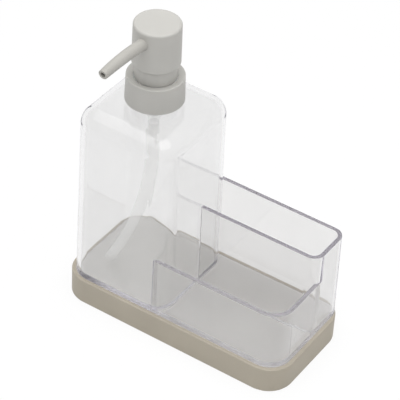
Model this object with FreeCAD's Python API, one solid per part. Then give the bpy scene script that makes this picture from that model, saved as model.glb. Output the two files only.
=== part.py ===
"""Soap pump caddy: a clear refillable pump bottle and a clear two-height organiser on one satin base.

Millimetres, +Z up, X along the length with the bottle on the -X side, and the front of the caddy at -Y.
The origin is on the standing surface, under the middle of the base.
"""
import FreeCAD, Part
import math
import os

V = FreeCAD.Vector

# Base
base_length = 159.6
base_width = 78.0
base_corner_radius = 17.0
base_top_z = 17.6
base_edge_radius = 0.8
base_hem_radius = 0.4
base_wall = 2.2
base_deck = 2.2
base_rib = 1.6
base_rib_shy = 1.2
base_bays = 3
seat_depth = 1.2
seat_clearance = 0.2

# Foot pads under the corners of the base
foot_radius = 5.0
foot_height = 1.4
foot_stand = 0.2
foot_inset = 15.0
foot_boss_margin = 1.6

# Clear walls that stand in the seat of the base
clear_inset = 2.75
clear_draft_share = 0.013
seat_gap = 0.05

# Bottle
bottle_length = 71.4
bottle_corner_radius = 14.0
bottle_wall = 2.2
bottle_bottom_thickness = 2.2
bottle_spigot_height = 1.2
bottle_spigot_clearance = 0.1
bottle_seam_gap = 0.05
bottle_height = 125.9
bottle_shoulder_radius = 11.5
neck_radius = 13.0
neck_bore_radius = 10.3
neck_height = 15.4
neck_root_radius = 2.4

# Organiser
caddy_floor_thickness = 3.0
caddy_wall = 2.6
caddy_tall_height = 61.7
caddy_low_height = 41.5
caddy_divider_y = 2.5
caddy_tall_radius = 8.5
caddy_low_inner_radius = 9.3
caddy_floor_radius = 0.3
caddy_rim_radius = 0.2
caddy_start_setback = 8.2
caddy_bottle_gap = 0.1

# Fits of the pump
press_gap = 0.05
running_gap = 0.05
cut_overrun = 1.0
match_tolerance = 1e-4

# Gasket and pump housing
gasket_thickness = 1.4
flange_radius = 13.2
flange_thickness = 1.5
cup_radius = 9.6
cup_wall = 1.6
cup_depth = 8.2
cylinder_radius = 7.3
cylinder_bore_radius = 6.0
cylinder_bore_depth = 12.8
valve_lip_thickness = 1.0
valve_lip_radius = 1.8
valve_chamber_radius = 2.9
valve_chamber_height = 5.4
valve_floor_thickness = 1.5
valve_boss_radius = 4.3
inlet_radius = 1.5
tail_radius = 3.4
tail_height = 5.2
spigot_height = 7.0
ball_radius = 2.2

# Dip tube
tube_radius = 3.5
tube_bore_radius = 2.9
tube_straight = 21.4
tube_bend_radius = 160.0
tube_end_clearance = 0.65
tube_heading_degrees = 216.0

# Collar and closure
closure_ceiling = 1.2
closure_hole_radius = 8.6
closure_bore_radius = 14.05
closure_shy = 1.0
collar_radius = 17.5
collar_flare = 0.45
collar_wall = 1.3
collar_top_thickness = 1.4
collar_dish = 0.8
collar_hole_gap = 0.4
collar_height = 17.0
collar_edge_radius = 0.6

# Chaplet and sleeve
chaplet_web = 1.5
chaplet_guide_wall = 0.9
chaplet_guide_height = 3.2
chaplet_foot_gap = 0.2
sleeve_radius = 12.85
sleeve_wall = 1.1
sleeve_sink = 0.9
sleeve_height = 14.1

# Stem, piston and stroke
pump_stroke = 8.0
stem_radius = 3.4
stem_bore_radius = 1.7
stem_guide_gap = 0.35
stem_foot_radius = 4.4
stem_foot_height = 0.8
stem_height = 37.4
piston_height = 3.6
piston_top_gap = 0.2

# Head
head_radius = 14.3
head_flare = 0.3
head_wall = 1.15
head_top_thickness = 1.6
head_height = 27.0
head_edge_radius = 1.5
head_lip_radius = 1.0
core_height = 12.1
core_socket_radius = 5.0
core_socket_height = 6.8
outlet_chamber_gap = 0.3
outlet_chamber_height = 4.9

# Spout
spout_height = 26.5
spout_radius = 3.4
spout_bore_radius = 1.75
spout_root_reach = 8.0
spout_straight_reach = 16.0
spout_bend_radius = 165.0
spout_bend_degrees = 11.7
spout_rise_degrees = 4.5
spout_heading_degrees = 268.0

# Return spring
spring_wire_radius = 0.45
spring_mean_radius = 6.6
spring_end_turns = 1
spring_active_turns = 5
spring_end_pitch = 1.4
quarters = 4

# Heights that follow from the sizes above
seat_z = base_top_z - seat_depth
clear_low_z = seat_z + seat_gap
bottle_seam_z = clear_low_z + bottle_bottom_thickness
shoulder_z = seat_z + bottle_height
neck_top_z = shoulder_z + neck_height
flange_low_z = neck_top_z + running_gap + gasket_thickness
flange_top_z = flange_low_z + flange_thickness
ceiling_z = flange_top_z + running_gap
collar_top_z = ceiling_z + closure_ceiling + collar_top_thickness
collar_low_z = collar_top_z - collar_height
cup_floor_z = flange_top_z - cup_depth
bore_floor_z = cup_floor_z - cylinder_bore_depth
chamber_top_z = bore_floor_z - valve_lip_thickness
chamber_floor_z = chamber_top_z - valve_chamber_height
boss_low_z = chamber_floor_z - valve_floor_thickness
tube_top_z = boss_low_z - tail_height
sleeve_low_z = collar_top_z - sleeve_sink
sleeve_top_z = sleeve_low_z + sleeve_height
web_top_z = sleeve_low_z + chaplet_web
piston_top_z = cup_floor_z - piston_top_gap
piston_low_z = piston_top_z - piston_height
stem_low_z = piston_low_z - stem_foot_height
stem_top_z = stem_low_z + stem_height
head_low_z = collar_top_z + pump_stroke + sleeve_sink
head_top_z = head_low_z + head_height
core_top_z = head_top_z - head_top_thickness
core_low_z = core_top_z - core_height
spout_z = collar_top_z + spout_height
tube_bend_z = tube_top_z - tube_straight
tube_end_z = bottle_seam_z + bottle_spigot_height + tube_end_clearance

# Places that follow from the sizes above
bottle_left_x = clear_inset - base_length / 2
bottle_right_x = bottle_left_x + bottle_length
pump_x = (bottle_left_x + bottle_right_x) / 2
caddy_start_x = bottle_right_x - caddy_start_setback
head_bore_radius = head_radius - head_wall
tube_bend_degrees = math.degrees(math.asin((tube_bend_z - tube_end_z) / (tube_bend_radius + tube_radius)))

os.makedirs("parts", exist_ok=True)


def save(shape, name):
    """Write one piece to its own file and print its size."""
    shape = shape.removeSplitter()
    shape.exportStep("parts/" + name + ".step")
    print(name, len(shape.Solids), "solid", round(shape.Volume, 1), "mm3", "valid", shape.isValid())


def rounded_outline(x0, x1, y0, y1, radii, z):
    """Closed wire of a rectangle with a radius at each corner, from (x0, y0) anticlockwise."""
    corners = [(x0, y0, 1, 1), (x1, y0, -1, 1), (x1, y1, -1, -1), (x0, y1, 1, -1)]
    half = math.sqrt(0.5)
    ends = []
    for index, ((x, y, sx, sy), r) in enumerate(zip(corners, radii)):
        along_y = V(x, y + sy * r, z)
        along_x = V(x + sx * r, y, z)
        middle = V(x + sx * r * (1 - half), y + sy * r * (1 - half), z)
        first, last = (along_y, along_x) if index % 2 == 0 else (along_x, along_y)
        ends.append((first, middle, last))
    edges = []
    for index, (first, middle, last) in enumerate(ends):
        edges.append(Part.Arc(first, middle, last).toShape())
        edges.append(Part.LineSegment(last, ends[(index + 1) % len(ends)][0]).toShape())
    return Part.Wire(edges)


def block(low, high):
    """Solid between two like outlines, with flat or conical sides."""
    return Part.makeLoft([low, high], True, True)


def turned(profile):
    """Solid of revolution about the pump's axis from (radius, height) points."""
    points = [V(pump_x + r, 0, z) for r, z in profile]
    face = Part.Face(Part.makePolygon(points + points[:1]))
    return face.revolve(V(pump_x, 0, 0), V(0, 0, 1), 360)


def ring(inner, outer, low, high):
    """Plain ring about the pump's axis."""
    return turned([(inner, low), (outer, low), (outer, high), (inner, high)])


def rim_edges(shape, radius, z):
    """Circular edges of a turned piece at one radius and height."""
    found = []
    for edge in shape.Edges:
        curve = edge.Curve
        if isinstance(curve, Part.Circle) and abs(curve.Radius - radius) < match_tolerance:
            if abs(curve.Center.z - z) < match_tolerance and abs(curve.Axis.z) > 0.5:
                found.append(edge)
    return found


def edges_at_height(shape, z):
    """Edges that lie whole in one level plane."""
    found = []
    for edge in shape.Edges:
        bounds = edge.BoundBox
        if max(abs(bounds.ZMin - z), abs(bounds.ZMax - z)) < match_tolerance:
            found.append(edge)
    return found


def base_plan(inset, z):
    """Outline of the base, drawn in by an inset."""
    x = base_length / 2 - inset
    y = base_width / 2 - inset
    return rounded_outline(-x, x, -y, y, [base_corner_radius - inset] * 4, z)


def clear_inset_at(z):
    """Distance from the base's side to the clear walls, which lean in as they rise."""
    return clear_inset + clear_draft_share * (z - seat_z)


def bottle_plan(z, inset):
    """Outline of the bottle at a height, drawn in by an inset or out by a negative one."""
    lean = clear_draft_share * (z - seat_z)
    shrink = lean + inset
    y = base_width / 2 - clear_inset - shrink
    radius = bottle_corner_radius - shrink
    return rounded_outline(bottle_left_x + shrink, bottle_right_x - shrink, -y, y, [radius] * 4, z)


def make_base():
    """Base: a straight-sided shell with a seat on top, and ribs and foot bosses below."""
    low_z = foot_stand
    body = block(base_plan(0, low_z), base_plan(0, base_top_z))
    body = body.makeFillet(base_edge_radius, edges_at_height(body, base_top_z))
    body = body.makeFillet(base_hem_radius, edges_at_height(body, low_z))
    seat_inset = clear_inset - seat_clearance
    above_z = base_top_z + cut_overrun
    seat = block(base_plan(seat_inset, seat_z), base_plan(seat_inset, above_z))
    seat = seat.fuse(block(tall_plan(seat_z, seat_clearance), tall_plan(above_z, seat_clearance)))
    body = body.cut(seat)
    deck_z = seat_z - base_deck
    hollow = block(base_plan(base_wall, low_z - cut_overrun), base_plan(base_wall, deck_z))
    rib_low = low_z + base_rib_shy
    for bay in range(1, base_bays):
        x = base_length * (bay / base_bays - 0.5)
        corner = V(x - base_rib / 2, -base_width / 2, rib_low)
        hollow = hollow.cut(Part.makeBox(base_rib, base_width, deck_z - rib_low, corner))
    for x, y in foot_places():
        boss = Part.makeCylinder(foot_radius + foot_boss_margin, deck_z - foot_height, V(x, y, foot_height))
        hollow = hollow.cut(boss)
    return body.cut(hollow)


def foot_places():
    """Centres of the four foot pads."""
    x = base_length / 2 - foot_inset
    y = base_width / 2 - foot_inset
    return [(-x, -y), (x, -y), (x, y), (-x, y)]


def make_feet():
    """Four separate round pads."""
    pads = [Part.makeCylinder(foot_radius, foot_height, V(x, y, 0)) for x, y in foot_places()]
    return Part.makeCompound(pads)


def bottle_shape(inset, low_z, high_z, edge_radius):
    """Drafted bottle form with a rounded shoulder."""
    form = block(bottle_plan(low_z, inset), bottle_plan(high_z, inset))
    return form.makeFillet(edge_radius, edges_at_height(form, high_z))


def make_bottle():
    """Bottle shell, open below, with a round neck."""
    low_z = bottle_seam_z + bottle_seam_gap
    outer = bottle_shape(0, low_z, shoulder_z, bottle_shoulder_radius)
    neck_low = shoulder_z - cut_overrun
    neck = Part.makeCylinder(neck_radius, neck_top_z - neck_low, V(pump_x, 0, neck_low))
    outer = outer.fuse(neck)
    outer = outer.makeFillet(neck_root_radius, rim_edges(outer, neck_radius, shoulder_z))
    inner_radius = bottle_shoulder_radius - bottle_wall
    inner = bottle_shape(bottle_wall, low_z - cut_overrun, shoulder_z - bottle_wall, inner_radius)
    bore_low = shoulder_z - bottle_wall - cut_overrun
    bore = Part.makeCylinder(neck_bore_radius, neck_top_z - bore_low + cut_overrun, V(pump_x, 0, bore_low))
    return outer.cut(inner.fuse(bore))


def make_bottle_bottom():
    """Plate that closes the bottle, with a step that locates it inside the walls."""
    plate = block(bottle_plan(clear_low_z, 0), bottle_plan(bottle_seam_z, 0))
    step_inset = bottle_wall + bottle_spigot_clearance
    step_top = bottle_seam_z + bottle_spigot_height
    step = block(bottle_plan(bottle_seam_z, step_inset), bottle_plan(step_top, step_inset))
    return plate.fuse(step)


def low_plan(z):
    """Outline of the organiser's low outer walls, which follow the base."""
    inset = clear_inset_at(z)
    radius = base_corner_radius - inset
    y = base_width / 2 - inset
    return rounded_outline(pump_x, base_length / 2 - inset, -y, y, [radius] * 4, z)


def tall_plan(z, grow):
    """Outline of the tall rear compartment, let out by a clearance."""
    lean = clear_draft_share * (z - seat_z)
    inset = clear_inset + lean - grow
    radius = caddy_tall_radius - lean + grow
    x1 = base_length / 2 - inset
    y1 = base_width / 2 - inset
    return rounded_outline(pump_x, x1, caddy_divider_y - grow, y1, [radius] * 4, z)


def compartment(y_front, rim_z, radius):
    """Straight-sided inside of a compartment, from its rounded floor to above its rim."""
    rim_inset = clear_inset_at(rim_z) + caddy_wall
    x1 = base_length / 2 - rim_inset
    y1 = base_width / 2 - rim_inset
    floor_z = clear_low_z + caddy_floor_thickness
    outlines = []
    for z in (floor_z, rim_z + cut_overrun):
        outlines.append(rounded_outline(pump_x + caddy_wall, x1, y_front, y1, [radius] * 4, z))
    room = block(*outlines)
    return room.makeFillet(caddy_floor_radius, edges_at_height(room, floor_z))


def make_caddy():
    """Organiser: low outer walls and floor, with the tall rear compartment rising out of them."""
    low_z = seat_z + caddy_low_height
    tall_z = seat_z + caddy_tall_height
    low_inset = clear_inset_at(low_z) + caddy_wall
    low_room = compartment(low_inset - base_width / 2, low_z, caddy_low_inner_radius)
    tall_inner_radius = caddy_tall_radius - clear_draft_share * caddy_tall_height - caddy_wall
    tall_room = compartment(caddy_divider_y + caddy_wall, tall_z, tall_inner_radius)
    walls = block(low_plan(clear_low_z), low_plan(low_z)).cut(low_room)
    walls = walls.fuse(block(tall_plan(clear_low_z, 0), tall_plan(tall_z, 0))).cut(tall_room)
    above_z = tall_z + cut_overrun
    below_z = seat_z - cut_overrun
    bottle_room = block(bottle_plan(below_z, -caddy_bottle_gap), bottle_plan(above_z, -caddy_bottle_gap))
    start = Part.makeBox(base_length, base_width, above_z, V(caddy_start_x - base_length, -base_width / 2, 0))
    walls = walls.cut(bottle_room).cut(start).removeSplitter()
    rims = edges_at_height(walls, low_z) + edges_at_height(walls, tall_z)
    return walls.makeFillet(caddy_rim_radius, rims)


def make_gasket():
    """Flat washer on the bottle's neck."""
    return ring(neck_bore_radius, flange_radius, neck_top_z + running_gap, flange_low_z)


def make_housing():
    """Pump cylinder: flange, cup for the chaplet, bore, valve chamber and tail."""
    spigot_radius = tube_bore_radius - press_gap
    cup_bore = cup_radius - cup_wall
    shoulder = cup_floor_z - cup_wall
    cylinder_low = chamber_top_z - valve_lip_thickness
    return turned([
        (flange_radius, flange_top_z), (flange_radius, flange_low_z), (cup_radius, flange_low_z),
        (cup_radius, shoulder), (cylinder_radius, shoulder), (cylinder_radius, cylinder_low),
        (valve_boss_radius, cylinder_low), (valve_boss_radius, boss_low_z), (tail_radius, boss_low_z),
        (tail_radius, tube_top_z), (spigot_radius, tube_top_z), (spigot_radius, tube_top_z - spigot_height),
        (inlet_radius, tube_top_z - spigot_height), (inlet_radius, chamber_floor_z),
        (valve_chamber_radius, chamber_floor_z), (valve_chamber_radius, chamber_top_z),
        (valve_lip_radius, chamber_top_z), (valve_lip_radius, bore_floor_z),
        (cylinder_bore_radius, bore_floor_z), (cylinder_bore_radius, cup_floor_z),
        (cup_bore, cup_floor_z), (cup_bore, flange_top_z),
    ])


def seated_ball(seat_radius, seat_height):
    """Check ball resting on the rim of a hole."""
    rise = math.sqrt(ball_radius ** 2 - seat_radius ** 2) + running_gap
    return Part.makeSphere(ball_radius, V(pump_x, 0, seat_height + rise))


def bent_rod(start, direction, side, straight, bend_radius, bend_degrees, radius):
    """Round rod that runs straight from its start, then bends towards one side."""
    bend_start = start + direction * straight
    rod = Part.makeCylinder(radius, straight, start, direction)
    section = Part.Face(Part.Wire(Part.Circle(bend_start, direction, radius).toShape()))
    bend_axis = direction.cross(side)
    return rod.fuse(section.revolve(bend_start + side * bend_radius, bend_axis, bend_degrees))


def tube_rod(radius):
    """Rod along the dip tube: a straight drop, then one long bend towards the front corner of the bottle."""
    heading = math.radians(tube_heading_degrees)
    out = V(math.cos(heading), math.sin(heading), 0)
    top = V(pump_x, 0, tube_top_z)
    return bent_rod(top, V(0, 0, -1), out, tube_straight, tube_bend_radius, tube_bend_degrees, radius)


def make_dip_tube():
    """Suction tube whose end stands just above the bottle's bottom."""
    tube = tube_rod(tube_radius).cut(tube_rod(tube_bore_radius))
    length = tube_straight + tube_bend_radius * math.radians(tube_bend_degrees)
    area = math.pi * (tube_radius ** 2 - tube_bore_radius ** 2)
    print("dip tube volume over section times length", round(tube.Volume / (area * length), 4))
    return tube


def make_closure():
    """Threaded cap, shown with its plain bore."""
    outer = collar_radius - collar_wall - press_gap
    low = collar_low_z + closure_shy
    top = ceiling_z + closure_ceiling
    return turned([
        (closure_hole_radius, ceiling_z), (closure_bore_radius, ceiling_z), (closure_bore_radius, low),
        (outer, low), (outer, top), (closure_hole_radius, top),
    ])


def make_collar():
    """Collar shell over the closure, flared below, with a dished top and a hole for the sleeve."""
    inner = collar_radius - collar_wall
    hole = sleeve_radius + collar_hole_gap
    ledge = collar_top_z - collar_top_thickness
    shell = turned([
        (inner, collar_low_z), (collar_radius + collar_flare, collar_low_z), (collar_radius, collar_top_z),
        (hole, collar_top_z - collar_dish), (hole, ledge), (inner, ledge),
    ])
    return shell.makeFillet(collar_edge_radius, rim_edges(shell, collar_radius, collar_top_z))


def make_chaplet():
    """Chaplet: a plug in the housing's cup, a web that carries the sleeve, and a guide for the stem."""
    guide = stem_radius + stem_guide_gap
    plug = cup_radius - cup_wall - press_gap
    web = sleeve_radius - sleeve_wall - press_gap
    guide_top = web_top_z + chaplet_guide_height
    foot = cup_floor_z + chaplet_foot_gap
    tower = guide + chaplet_guide_wall
    return turned([
        (guide, foot), (plug, foot), (plug, sleeve_low_z), (web, sleeve_low_z), (web, web_top_z),
        (tower, web_top_z), (tower, guide_top), (guide, guide_top),
    ])


def make_sleeve():
    """Visible sleeve pressed on the chaplet's web."""
    return ring(sleeve_radius - sleeve_wall, sleeve_radius, sleeve_low_z, sleeve_top_z)


def make_stem():
    """Hollow stem with a foot that holds the piston."""
    return turned([
        (stem_bore_radius, stem_low_z), (stem_foot_radius, stem_low_z), (stem_foot_radius, piston_low_z),
        (stem_radius, piston_low_z), (stem_radius, stem_top_z), (stem_bore_radius, stem_top_z),
    ])


def make_piston():
    """Piston seal: two lips with a waist between them."""
    inner = stem_radius + press_gap
    lip = cylinder_bore_radius - running_gap
    waist = (inner + lip) / 2
    third = piston_height / 3
    return turned([
        (inner, piston_low_z), (lip, piston_low_z), (lip, piston_low_z + third),
        (waist, piston_low_z + third), (waist, piston_top_z - third), (lip, piston_top_z - third),
        (lip, piston_top_z), (inner, piston_top_z),
    ])


def spout_direction():
    """Direction of the spout's root: away from the pump's axis and a little upward."""
    heading = math.radians(spout_heading_degrees)
    rise = math.radians(spout_rise_degrees)
    return V(math.cos(heading) * math.cos(rise), math.sin(heading) * math.cos(rise), math.sin(rise))


def spout_rod(radius):
    """Rod along the spout, from its seat in the core to its drooping tip."""
    out = spout_direction()
    down = (out * out.z - V(0, 0, 1)).normalize()
    root = V(pump_x, 0, spout_z) + out * spout_root_reach
    straight = spout_straight_reach - spout_root_reach
    return bent_rod(root, out, down, straight, spout_bend_radius, spout_bend_degrees, radius)


def make_spout():
    """Drooping spout with an open bore."""
    return spout_rod(spout_radius).cut(spout_rod(spout_bore_radius))


def spout_hole(radius, reach):
    """Straight cutter along the spout's root, from the pump's axis outward to a reach."""
    return Part.makeCylinder(radius, reach, V(pump_x, 0, spout_z), spout_direction())


def make_head_shell():
    """Drum of the head, flared below and rounded at both ends, with a hole for the spout."""
    lip_outer = head_radius + head_flare
    shell = turned([
        (head_bore_radius, head_low_z), (lip_outer, head_low_z), (head_radius, head_top_z),
        (0, head_top_z), (0, core_top_z), (head_bore_radius, core_top_z),
    ])
    shell = shell.makeFillet(head_edge_radius, rim_edges(shell, head_radius, head_top_z))
    shell = shell.makeFillet(head_lip_radius, rim_edges(shell, lip_outer, head_low_z))
    return shell.cut(spout_hole(spout_radius + press_gap, head_radius + cut_overrun))


def make_head_core():
    """Core of the head: a disc in the drum, a socket on the stem, the outlet chamber and the spout's seat."""
    outer = head_bore_radius - press_gap
    socket_low = core_low_z - core_socket_height
    socket = stem_radius + running_gap
    step = stem_top_z + outlet_chamber_gap
    chamber_top = step + outlet_chamber_height
    core = turned([
        (socket, socket_low), (core_socket_radius, socket_low), (core_socket_radius, core_low_z),
        (outer, core_low_z), (outer, core_top_z - press_gap), (0, core_top_z - press_gap), (0, chamber_top),
        (valve_chamber_radius, chamber_top), (valve_chamber_radius, step), (socket, step),
    ])
    seat = spout_hole(spout_radius + press_gap, head_radius)
    seat = seat.cut(spout_hole(head_radius, spout_root_reach - press_gap))
    return core.cut(seat).cut(spout_hole(spout_bore_radius, spout_root_reach))


def spring_points():
    """Points and directions every quarter turn of the spring, with close turns at both ends."""
    low = web_top_z + spring_wire_radius + running_gap
    high = core_low_z - spring_wire_radius - running_gap
    ends = spring_end_turns * quarters
    active = spring_active_turns * quarters
    active_rise = (high - low - 2 * spring_end_turns * spring_end_pitch) / active
    end_steps = [spring_end_pitch / quarters] * ends
    steps = end_steps + [active_rise] * active + end_steps
    heights = [low]
    for step in steps:
        heights.append(heights[-1] + step)
    rises = [steps[0]] + [(a + b) / 2 for a, b in zip(steps, steps[1:])] + [steps[-1]]
    arc = spring_mean_radius * math.pi / 2
    frames = []
    for index, (z, rise) in enumerate(zip(heights, rises)):
        c = (1, 0, -1, 0)[index % quarters]
        s = (0, 1, 0, -1)[index % quarters]
        point = V(pump_x + spring_mean_radius * c, spring_mean_radius * s, z)
        direction = V(-s * arc, c * arc, rise)
        frames.append((point, direction.normalize()))
    return frames


def arc_between(start, corner, end):
    """Arc from start to end whose end tangents meet at the corner."""
    middle = (start + end) * 0.5
    half = (end - start).Length / 2
    angle = math.atan2((corner - middle).Length, half)
    share = math.tan(angle / 2) / math.tan(angle)
    return Part.Arc(start, middle + (corner - middle) * share, end).toShape()


def make_spring():
    """Coil spring: a round wire along pairs of arcs, each pair a quarter of a turn."""
    frames = spring_points()
    edges = []
    for (p0, t0), (p1, t1) in zip(frames, frames[1:]):
        span = p1 - p0
        both = t0 + t1
        bend = 2 * (1 - t0.dot(t1))
        along = span.dot(both)
        reach = (math.sqrt(along ** 2 + bend * span.dot(span)) - along) / bend
        joint = (p0 + p1 + (t0 - t1) * reach) * 0.5
        edges.append(arc_between(p0, p0 + t0 * reach, joint))
        edges.append(arc_between(joint, p1 - t1 * reach, p1))
    path = Part.Wire(edges)
    start, direction = frames[0]
    section = Part.Wire(Part.Circle(start, direction, spring_wire_radius).toShape())
    wire = path.makePipeShell([section], True, False)
    pitches = [upper.z - lower.z for (lower, _), (upper, _) in zip(frames, frames[quarters:])]
    print("spring least gap between turns", round(min(pitches) - 2 * spring_wire_radius, 3))
    print("spring volume over section times length",
          round(wire.Volume / (math.pi * spring_wire_radius ** 2 * path.Length), 4))
    return wire


save(make_base(), "base_tray")
save(make_feet(), "foot_pads")
save(make_bottle(), "bottle_body")
save(make_bottle_bottom(), "bottle_bottom")
save(make_caddy(), "caddy_walls")
save(make_gasket(), "neck_gasket")
save(make_housing(), "pump_housing")
save(seated_ball(inlet_radius, chamber_floor_z), "inlet_ball")
save(make_dip_tube(), "dip_tube")
save(make_closure(), "closure_cap")
save(make_collar(), "collar_shell")
save(make_chaplet(), "chaplet")
save(make_sleeve(), "pump_sleeve")
save(make_stem(), "pump_stem")
save(make_piston(), "piston")
save(seated_ball(stem_bore_radius, stem_top_z), "outlet_ball")
save(make_head_core(), "head_core")
save(make_head_shell(), "head_shell")
save(make_spout(), "spout")
save(make_spring(), "return_spring")
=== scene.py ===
# %% [markdown]
# # Soap pump caddy
# This lesson dresses a soap pump caddy: a clear bottle with a pump, and a clear organiser beside it, both standing
# in one satin base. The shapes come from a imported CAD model, which is loaded first and stays where it is. Each
# later cell gives one piece its finish, or builds a piece that the CAD model leaves plain.

# %% Load the frame
import math

import bpy
from mathutils import Matrix, Vector


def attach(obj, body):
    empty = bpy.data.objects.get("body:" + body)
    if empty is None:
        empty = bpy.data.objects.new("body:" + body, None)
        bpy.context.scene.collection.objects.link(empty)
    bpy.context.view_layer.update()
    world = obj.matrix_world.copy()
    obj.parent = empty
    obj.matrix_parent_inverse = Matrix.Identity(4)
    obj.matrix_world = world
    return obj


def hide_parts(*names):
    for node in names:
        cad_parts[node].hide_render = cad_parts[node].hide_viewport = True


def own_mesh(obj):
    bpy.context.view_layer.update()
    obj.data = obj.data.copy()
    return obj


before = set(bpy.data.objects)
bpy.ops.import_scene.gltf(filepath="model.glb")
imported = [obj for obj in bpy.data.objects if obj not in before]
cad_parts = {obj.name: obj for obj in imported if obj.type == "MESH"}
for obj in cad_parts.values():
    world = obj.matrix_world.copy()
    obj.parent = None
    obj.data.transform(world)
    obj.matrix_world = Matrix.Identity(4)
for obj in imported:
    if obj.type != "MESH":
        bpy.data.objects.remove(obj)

MM = 0.001
scene = bpy.context.scene
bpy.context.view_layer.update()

# %% [markdown]
# ## Camera
# The photograph was taken with a long lens, from above and to the right of the front. A long lens far away keeps
# upright edges nearly parallel, so the distance matters as much as the angle. The angles, the distance and the
# lens were solved from the base's corners and the rims, and the camera leans a little to one side as well.

# %% Place the camera
PHOTO_SIZE = 400
LENS_PIXELS = 2060.0
SENSOR = 36.0
VIEW_AZIMUTH = math.radians(31.825)
VIEW_ELEVATION = math.radians(39.524)
VIEW_LEAN = math.radians(3.507)
VIEW_DISTANCE = 1231.7 * MM
VIEW_TARGET = Vector((0, 0, 80.0)) * MM
VIEW_OFFSET = Vector((-4.602, 6.540)) * MM


def place_camera():
    """Camera at the photograph's viewpoint."""
    level = math.cos(VIEW_ELEVATION)
    back = Vector((math.sin(VIEW_AZIMUTH) * level, -math.cos(VIEW_AZIMUTH) * level, math.sin(VIEW_ELEVATION)))
    right = Vector((math.cos(VIEW_AZIMUTH), math.sin(VIEW_AZIMUTH), 0))
    up = back.cross(right)
    leaned_right = right * math.cos(VIEW_LEAN) + up * math.sin(VIEW_LEAN)
    leaned_up = up * math.cos(VIEW_LEAN) - right * math.sin(VIEW_LEAN)
    data = bpy.data.cameras.new("photo_camera")
    data.sensor_width = SENSOR
    data.lens = LENS_PIXELS / PHOTO_SIZE * SENSOR
    camera = bpy.data.objects.new("photo_camera", data)
    scene.collection.objects.link(camera)
    place = VIEW_TARGET + leaned_right * VIEW_OFFSET.x + leaned_up * VIEW_OFFSET.y + back * VIEW_DISTANCE
    turn = Matrix((leaned_right, leaned_up, back)).transposed().to_4x4()
    camera.matrix_world = Matrix.Translation(place) @ turn
    scene.camera = camera
    return camera


camera = place_camera()
print("camera lens", round(camera.data.lens, 1), "mm at", [round(v, 3) for v in camera.location])

# %% [markdown]
# ## Studio
# The caddy stands on a white sweep under a large soft lamp, so its background is plain white. Clear plastic shows
# whatever is behind it, and so the white has to be there for rays through the plastic too. The Light Path node
# tells these rays apart: they see a white of strength 1, while the light that falls on the object stays lower.

# %% Helpers for shader nodes


def shader_node(tree, kind, inputs=None, **settings):
    """Add one shader node, with values for its sockets by name and for its own settings."""
    made = tree.nodes.new("ShaderNode" + kind)
    for name, value in settings.items():
        setattr(made, name, value)
    for name, value in (inputs or {}).items():
        made.inputs[name].default_value = value
    return made


def white_for_seen_rays(tree):
    """Socket that is 1 for rays from the eye, from reflections and through clear plastic."""
    path = shader_node(tree, "LightPath")
    seen = path.outputs["Is Camera Ray"]
    for name in ("Is Glossy Ray", "Is Transmission Ray"):
        either = shader_node(tree, "Math", operation="MAXIMUM")
        tree.links.new(seen, either.inputs[0])
        tree.links.new(path.outputs[name], either.inputs[1])
        seen = either.outputs[0]
    return seen


# %% [markdown]
# Light that runs inside a clear wall is thrown back from side to side many times before it leaves at a rim or a
# foot. Each time counts as one bounce, and where the count runs out the wall turns black. So the limits are high.

# %% Light the sky
SKY_STRENGTH = 0.45
WHITE = (1, 1, 1, 1)
BOUNCES = 64

scene.view_settings.view_transform = "Standard"
scene.cycles.max_bounces = BOUNCES
scene.cycles.glossy_bounces = BOUNCES
scene.cycles.transmission_bounces = BOUNCES
scene.cycles.transparent_max_bounces = BOUNCES


def light_the_sky():
    """White world for what is seen, dimmer for what it lights."""
    world = bpy.data.worlds.new("studio")
    world.use_nodes = True
    tree = world.node_tree
    tree.nodes.clear()
    dim = shader_node(tree, "Background", {"Color": WHITE, "Strength": SKY_STRENGTH})
    white = shader_node(tree, "Background", {"Color": WHITE, "Strength": 1.0})
    mix = shader_node(tree, "MixShader")
    output = shader_node(tree, "OutputWorld")
    tree.links.new(white_for_seen_rays(tree), mix.inputs[0])
    tree.links.new(dim.outputs[0], mix.inputs[1])
    tree.links.new(white.outputs[0], mix.inputs[2])
    tree.links.new(mix.outputs[0], output.inputs[0])
    scene.world = world


light_the_sky()
print("sky lights with", SKY_STRENGTH, "of its white, up to", BOUNCES, "bounces")

# %% [markdown]
# The floor of the sweep has to look as white as the sky and still keep the shadow of the caddy. So most of what the
# eye sees of it is its own even white, and a small share is matt paint, which the lamps light and the caddy shades.

# %% Lay the floor
FLOOR_REACH = 3.0
FLOOR_WHITE = (0.86, 0.86, 0.86, 1)
FLOOR_GLOW_SHARE = 0.90


def lay_floor():
    """White floor that keeps a soft shadow."""
    mesh = bpy.data.meshes.new("studio_floor")
    corners = [(-FLOOR_REACH, -FLOOR_REACH, 0), (FLOOR_REACH, -FLOOR_REACH, 0),
               (FLOOR_REACH, FLOOR_REACH, 0), (-FLOOR_REACH, FLOOR_REACH, 0)]
    mesh.from_pydata(corners, [], [(0, 1, 2, 3)])
    floor = bpy.data.objects.new("studio_floor", mesh)
    scene.collection.objects.link(floor)
    material = bpy.data.materials.new("studio_floor")
    material.use_nodes = True
    tree = material.node_tree
    tree.nodes.clear()
    matt = shader_node(tree, "BsdfDiffuse", {"Color": FLOOR_WHITE})
    glow = shader_node(tree, "Emission", {"Color": WHITE, "Strength": 1.0})
    share = shader_node(tree, "Math", {1: FLOOR_GLOW_SHARE}, operation="MULTIPLY")
    mix = shader_node(tree, "MixShader")
    output = shader_node(tree, "OutputMaterial")
    tree.links.new(white_for_seen_rays(tree), share.inputs[0])
    tree.links.new(share.outputs[0], mix.inputs[0])
    tree.links.new(matt.outputs[0], mix.inputs[1])
    tree.links.new(glow.outputs[0], mix.inputs[2])
    tree.links.new(mix.outputs[0], output.inputs["Surface"])
    mesh.materials.append(material)
    return floor


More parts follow.
